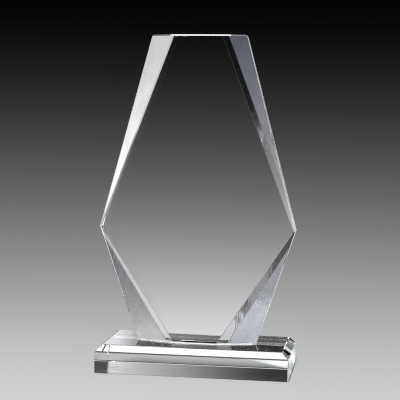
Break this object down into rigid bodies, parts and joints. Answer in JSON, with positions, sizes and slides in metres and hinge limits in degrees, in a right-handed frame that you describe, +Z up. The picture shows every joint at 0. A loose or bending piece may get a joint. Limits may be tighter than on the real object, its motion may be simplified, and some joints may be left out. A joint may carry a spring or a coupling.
{
  "type": "crystal award",
  "caption": "Clear hexagonal crystal plaque with ground bevelled sides, standing on a rectangular clear base with bevelled top edges; an award to be engraved.",
  "frame": {"origin": "centre of the base block's underside, where the award stands on a shelf", "axes": "+Z up along the plaque, +X to the right along the base's width, +Y to the back"},
  "size_m": [0.1534, 0.072, 0.2625],
  "materials": {
    "plaque_crystal": "polished optical crystal, all faces and facets bright polished",
    "base_crystal": "polished optical crystal, all faces bright polished",
    "clear_adhesive": "clear cured adhesive, glossy"
  },
  "bodies": {
    "root": {"plaque": "plaque_crystal", "base_block": "base_crystal", "adhesive_film": "clear_adhesive"}
  },
  "joints": []
}
